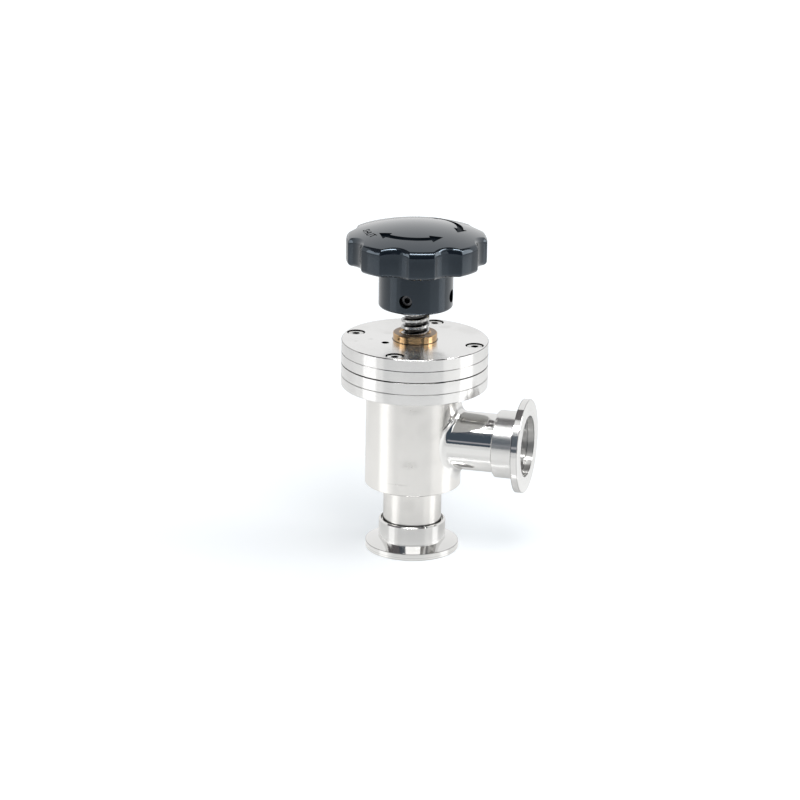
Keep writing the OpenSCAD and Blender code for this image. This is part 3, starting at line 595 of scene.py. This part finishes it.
def wheelHub():
    s = hub
    steps = [i / s["roundSteps"] * math.pi / 2 for i in range(s["roundSteps"] + 1)]
    outer, top = s["radius"], wheel["hollow"] + s["sink"]
    profile = [(outer, top)] + [(outer, wheel["hollow"] - s["wallStep"] * k) for k in range(1, s["wallRings"] + 1)]
    profile += [(outer - s["round"] * (1 - math.cos(a)), s["low"] + s["round"] * (1 - math.sin(a))) for a in steps]
    socket, c = s["socketR"], s["socketMouth"]
    profile += [(socket + c, s["low"]), (socket, s["low"] + c), (socket, s["socketTop"])]
    count = s["segments"]
    points = latheRings(profile, count)
    faces = [f[::-1] for f in ringFaces(count, len(profile))]
    closeEnds(points, faces, count, (0, 0, top), (0, 0, s["socketTop"]), True)
    obj = addPiece("handwheel_hub", points, faces, blackMoulding, None, None, wheel["sharp"])
    for angle in s["holeAngles"]:
        drillHole(obj, angle)

    def wallNormal(facing, p):
        out = Vector((p.x, p.y, 0))
        onWall = abs(out.length - outer * mm) < 2e-5 and abs(facing.z) < 0.2 and facing.dot(out) > 0.8 * out.length
        return out.normalized() if onWall else None

    trueNormals(obj, wallNormal)
    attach(obj, "handwheel")
    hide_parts("handwheel")


def drillHole(obj, angle):
    count, r = hub["holeSteps"], hub["holeR"]
    turn = Matrix.Rotation(math.radians(angle), 3, "Z")
    points = []
    for x in hub["holeReach"]:
        for i in range(count):
            t = 2 * math.pi * i / count
            points.append(turn @ Vector((x, r * math.cos(t), r * math.sin(t))) + Vector((0, 0, hub["holeHeight"])))
    faces = ringFaces(count, 2) + [tuple(range(count))[::-1], tuple(range(count, 2 * count))]
    mesh = bpy.data.meshes.new("drill")
    mesh.from_pydata([p * mm for p in points], [], faces)
    cutAway(obj, mesh)


def cutAway(obj, mesh):
    tool = bpy.data.objects.new("tool", mesh)
    scene.collection.objects.link(tool)
    cut = obj.modifiers.new("cut", "BOOLEAN")
    cut.operation, cut.solver, cut.object, cut.material_mode = "DIFFERENCE", "EXACT", tool, "TRANSFER"
    bpy.context.view_layer.update()
    ready = bpy.data.meshes.new_from_object(obj.evaluated_get(bpy.context.evaluated_depsgraph_get()))
    obj.modifiers.clear()
    obj.data = ready
    bpy.data.objects.remove(tool)


# normals of the true round surface, so that the cuts leave no dents in the gloss
def trueNormals(obj, better):
    mesh = obj.data
    mesh.shade_smooth()
    mesh.set_sharp_from_angle(angle=math.radians(wheel["sharp"]))
    normals = [Vector(n.vector) for n in mesh.corner_normals]
    for face in mesh.polygons:
        for corner in face.loop_indices:
            found = better(face.normal, mesh.vertices[mesh.loops[corner].vertex_index].co)
            if found:
                normals[corner] = found
    mesh.normals_split_custom_set(normals)


wheelTop()
wheelHub()
print("handwheel made")


# stem with its right-hand trapezoidal thread
stemSpec = {"crest": 6.0, "root": 4.4, "pitch": 3.0, "crestHalf": 0.53, "flank": 0.44, "phase": 0.67,
            "threadLow": 78.6, "threadTop": 109.0, "segments": 96, "step": 0.1,
            "lowEnd": [(3.7, 66.3), (4, 66.6), (4, 68.5), (3.5, 68.5), (3.5, 69.7), (4, 69.7), (4, 77.7),
                       (5.6, 77.7), (6, 78.1)],
            "topEnd": [(6, 124.3), (6, 125.0), (5.7, 125.3)]}


def stemPiece():
    s = stemSpec
    count = s["segments"]
    turn = np.linspace(0, 2 * math.pi, count, endpoint=False)

    def threadR(z):
        t = ((z + s["phase"]) / s["pitch"] - turn / (2 * math.pi)) % 1.0
        d = np.abs(t - 0.5) * s["pitch"]  # distance from the middle of the crest
        depth = s["crest"] - s["root"]
        wave = np.clip((d - s["crestHalf"]) / s["flank"], 0, 1)
        fade = min(1, z - s["threadLow"], s["threadTop"] - z)  # the thread runs out over the last millimetre
        return s["crest"] - depth * wave * max(0, fade)

    rings = [(np.full(count, r), z) for r, z in s["lowEnd"]]
    rings += [(threadR(z), z) for z in np.arange(s["threadLow"], s["threadTop"] + 0.01, s["step"])]
    rings += [(np.full(count, r), z) for r, z in s["topEnd"]]
    points = [(r * math.cos(t), r * math.sin(t), z) for rr, z in rings for r, t in zip(rr, turn)]
    faces = ringFaces(count, len(rings))
    closeEnds(points, faces, count, (0, 0, rings[0][1]), (0, 0, rings[-1][1]))
    addPiece("stem_thread", points, faces, metals["stemSteel"], "handwheel", "stem", 35)


stemPiece()
print("stem made")


# bellows: rounded folds in thin sheet, stretched between the bonnet's flange and the poppet
folds = {"low": 50.2, "high": 77.1, "inner": 12.0, "outer": 16.3, "cuff": 2.0, "count": 9, "sheet": 0.3,
         "fullness": 0.8, "segments": 144, "steps": 16}


def bellowsPiece():
    s = folds
    span = s["high"] - s["low"] - 2 * s["cuff"]
    line = [(s["inner"], s["low"]), (s["inner"], s["low"] + 0.5 * s["cuff"])]
    n = s["count"] * s["steps"]
    for i in range(n + 1):
        t = i / s["steps"]
        swell = (0.5 - 0.5 * math.cos(2 * math.pi * t)) ** s["fullness"]
        line.append((s["inner"] + (s["outer"] - s["sheet"] - s["inner"]) * swell, s["low"] + s["cuff"] + span * i / n))
    line += [(s["inner"], s["high"] - 0.5 * s["cuff"]), (s["inner"], s["high"])]
    outside = [(r + s["sheet"], z) for r, z in line]
    profile = line[::-1] + outside
    count = s["segments"]
    obj = addPiece("bellows_folds", latheRings(profile, count), ringFaces(count, len(profile), True),
                   metals["bellowsSteel"], None, None, 50)
    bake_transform(obj)
    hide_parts("bellows")


bellowsPiece()
print("bellows made")


# studio: white floor and surroundings, two tall soft boxes, one above the camera
studio = {"middle": (0, 0, 0.06), "ambient": 0.34, "ambientColor": (0.95, 0.975, 1.0),
          "floorR": 6.0, "floorSides": 96, "floorDrop": 0.0001, "floorAlbedo": 0.62, "floorGloss": 0.2,
          "nearR": 0.2, "farR": 0.5, "floorSeen": (0.6, 1.0), "floorTone": (0.93, 0.985, 1.03),
          "contact": ((0.025, 0.14, 0.2), (0.025, 0.07, 0.05)), "sides": (-0.03, 0.02),  # left and right of the object
          "floorNear": 0.5, "floorFar": 0.08, "glossTone": (0.99, 0.99, 0.972),  # how metal sees the floor
          "shade": (0.05, 0.11, 0.75), "behind": (-0.04, 0.0), "rear": (-0.02, -0.12, 0.8),
          "under": (0.035, 0.08, 0.16), "foot": (0.02, 0.045, 0.3), "rightGain": (0.1, 0.25, 1.5)}
boxes = {"left": {"turn": -74, "distance": 0.95, "width": 0.42, "low": 0.10, "high": 0.75, "glow": 2.2},
         "right": {"turn": 88, "distance": 0.95, "width": 0.42, "low": 0.10, "high": 1.3, "glow": 2.6}}
topBox = {"rise": 62, "distance": 1.0, "width": 0.62, "height": 0.7, "glow": 4.0}
# painted reflections: dark and bright glowing sheets round the object, seen only in the gloss
cards = {"room": {"rise": (-1, 47), "side": (-48, 44), "distance": 0.7, "color": (0.07, 0.09, 0.115)},
         "gleam": {"rise": (8, 14), "side": (-36, -18), "distance": 0.69, "color": (0.4, 0.4, 0.43)},
         "bounce": {"rise": (41, 57), "side": (-18, 25), "distance": 0.68, "color": (1.8, 1.8, 1.8)},
         "lintel": {"rise": (46.5, 58), "side": (-62, -17.5), "distance": 0.675, "color": (0.075, 0.09, 0.115)},
         "brow": {"rise": (57.5, 86), "side": (-62, -24), "distance": 0.9, "color": (0.16, 0.15, 0.16)},
         "strip": {"rise": (66, 86), "side": (-10, 30), "distance": 0.7, "color": (0.11, 0.1, 0.105)},
         "ceiling": {"rise": (86, 117), "side": (-50, 50), "distance": 0.7, "color": (0.11, 0.1, 0.105)},
         "sheen": {"rise": (57, 68), "side": (-23, 22), "distance": 0.9, "color": (24, 24, 24)},
         "glint": {"rise": (77, 84), "side": (31, 60), "distance": 0.85, "color": (16, 16, 16)},
         "wing": {"rise": (46.5, 58), "side": (25, 66), "distance": 0.675, "color": (0.25, 0.24, 0.23)}}


# direction by its rise over the camera's side of the floor and its angle to the side
def lookOut(rise, side):
    a, r, s = math.radians(camera["azimuth"]), math.radians(rise), math.radians(side)
    front, right = Vector((math.sin(a), -math.cos(a), 0)), Vector((math.cos(a), math.sin(a), 0))
    return math.cos(s) * (math.cos(r) * front + math.sin(r) * Vector((0, 0, 1))) + math.sin(s) * right


def seenRays(tree):
    path = addNode(tree, "ShaderNodeLightPath")
    seen = mathNode(tree, "MAXIMUM", path.outputs["Is Camera Ray"], path.outputs["Is Glossy Ray"])
    return mathNode(tree, "MAXIMUM", seen, path.outputs["Is Transmission Ray"])


def makeWorld():
    world = bpy.data.worlds.new("whiteRoom")
    scene.world = world
    world.use_nodes = True
    tree = world.node_tree
    back = tree.nodes["Background"]
    seen = seenRays(tree)
    tree.links.new(mixColor(tree, seen, studio["ambientColor"], (1.0, 1.0, 1.0)), back.inputs["Color"])
    tree.links.new(mapRange(tree, seen, 0, 1, studio["ambient"], 1), back.inputs["Strength"])


def makeFloor():
    count, radius = studio["floorSides"], studio["floorR"]
    mesh = bpy.data.meshes.new("studioFloor")
    turn = [2 * math.pi * i / count for i in range(count)]
    edge = [(radius * math.cos(t), radius * math.sin(t), -studio["floorDrop"]) for t in turn]
    mesh.from_pydata(edge, [], [tuple(range(count))])
    material, tree, shader = newFinish("floorPaint")
    r = turnedCoords(tree, "Z")[1]
    path = addNode(tree, "ShaderNodeLightPath")
    direct, glossy = path.outputs["Is Camera Ray"], path.outputs["Is Glossy Ray"]
    # painted light: the floor glows in the metal's reflections, more near the object than far off
    rise = mapRange(tree, r, studio["nearR"], studio["farR"], studio["floorNear"], studio["floorFar"])
    white = mapRange(tree, r, studio["nearR"], 2 * studio["farR"], *studio["floorSeen"])
    across = addNode(tree, "ShaderNodeVectorMath", {1: tuple(lookOut(0, 90))}, operation="DOT_PRODUCT")
    tree.links.new(objectCoords(tree), across.inputs[0])
    # painted shadow: the floor's glow is cut near the base, each side by its own measure
    for (inner, outer, dark), weights in zip(studio["contact"], ((1, 0), (0, 1))):
        share = mapRange(tree, across.outputs["Value"], *studio["sides"], *weights)
        loss = mathNode(tree, "MULTIPLY", share, mapRange(tree, r, inner, outer, dark, 0))
        white = mathNode(tree, "SUBTRACT", white, loss)
    front = addNode(tree, "ShaderNodeVectorMath", {1: tuple(lookOut(0, 0))}, operation="DOT_PRODUCT")
    tree.links.new(objectCoords(tree), front.inputs[0])
    inner, outer, dark = studio["shade"]
    behind = mapRange(tree, front.outputs["Value"], *studio["behind"], dark, 0)
    shade = mathNode(tree, "MULTIPLY", behind, mapRange(tree, r, inner, outer, 1, 0))  # the object's own shade
    rise = mathNode(tree, "MULTIPLY", rise, mathNode(tree, "SUBTRACT", 1, shade))
    # painted shade: the floor glows less in the metal behind the object
    inner, outer, low = studio["rear"]
    rise = mathNode(tree, "MULTIPLY", rise, mapRange(tree, front.outputs["Value"], outer, inner, low, 1))
    # painted shade: the floor glows less in the metal close round the base
    inner, outer, low = studio["under"]
    rise = mathNode(tree, "MINIMUM", rise, mapRange(tree, r, inner, outer, low, studio["floorNear"]))
    # painted light: a bright ring in the floor's glow close round the base
    inner, outer, glow = studio["foot"]
    rise = mathNode(tree, "ADD", rise, mapRange(tree, r, inner, outer, glow, 0))
    # painted light: the floor glows more in the metal on the right
    inner, outer, gain = studio["rightGain"]
    rise = mathNode(tree, "MULTIPLY", rise, mapRange(tree, across.outputs["Value"], inner, outer, 1, gain))
    tree.links.new(mixColor(tree, glossy, studio["floorTone"], studio["glossTone"]), shader.inputs["Emission Color"])
    setValues(shader, {"Base Color": (studio["floorAlbedo"],) * 3, "Roughness": studio["floorGloss"]})
    glow = mathNode(tree, "ADD", mathNode(tree, "MULTIPLY", glossy, rise), mathNode(tree, "MULTIPLY", direct, white))
    tree.links.new(glow, shader.inputs["Emission Strength"])
    # the floor shows no mirror image of the object in the picture
    tree.links.new(mapRange(tree, direct, 0, 1, 0.5, 0), shader.inputs["Specular IOR Level"])
    # and is open from below, so that the underside can be looked at
    clear, choice = addNode(tree, "ShaderNodeBsdfTransparent"), addNode(tree, "ShaderNodeMixShader")
    backSide = addNode(tree, "ShaderNodeNewGeometry").outputs["Backfacing"]
    for i, source in enumerate((backSide, shader.outputs[0], clear.outputs[0])):
        tree.links.new(source, choice.inputs[i])
    tree.links.new(choice.outputs[0], tree.nodes["Material Output"].inputs["Surface"])
    mesh.materials.append(material)
    floor = bpy.data.objects.new("studioFloor", mesh)
    scene.collection.objects.link(floor)


def addLamp(name, place, target, width, height, glow):
    data = bpy.data.lights.new(name, "AREA")
    data.shape, data.size, data.size_y = "RECTANGLE", width, height
    data.energy = glow * math.pi * width * height
    lamp = bpy.data.objects.new(name, data)
    scene.collection.objects.link(lamp)
    lamp.location = place
    lamp.rotation_euler = (target - place).to_track_quat("-Z", "Y").to_euler()
    lamp.visible_camera = False
    return lamp


def makeLamps():
    middle = Vector(studio["middle"])
    for name, s in boxes.items():
        high = Vector((0, 0, (s["low"] + s["high"]) / 2))
        place = lookOut(0, s["turn"]) * s["distance"] + high
        addLamp(name + "Box", place, high, s["width"], s["high"] - s["low"], s["glow"])
    s = topBox
    lamp = addLamp("topBox", middle + lookOut(s["rise"], 0) * s["distance"], middle, s["width"], s["height"], s["glow"])
    lamp.visible_glossy = False  # the sheen card stands for it in the gloss


def makeCards():
    steps = 24
    for name, s in cards.items():
        points = [Vector(studio["middle"]) + s["distance"] * lookOut(rise, side)
                  for rise in np.linspace(*s["rise"], steps + 1) for side in np.linspace(*s["side"], steps + 1)]
        faces = [(i, i + 1, i + steps + 2, i + steps + 1) for k in range(steps)
                 for i in range(k * (steps + 1), k * (steps + 1) + steps)]
        mesh = bpy.data.meshes.new(name + "Card")
        mesh.from_pydata(points, [], faces)
        material, shader = newFinish(name + "CardPaint")[::2]
        setValues(shader, {"Base Color": (0.0, 0.0, 0.0), "Specular IOR Level": 0.0, "Emission Color": s["color"],
                           "Emission Strength": 1.0})
        mesh.materials.append(material)
        card = bpy.data.objects.new(name + "Card", mesh)
        scene.collection.objects.link(card)
        card.visible_camera = card.visible_diffuse = card.visible_shadow = False


makeWorld()
makeFloor()
makeLamps()
makeCards()
print("studio made")
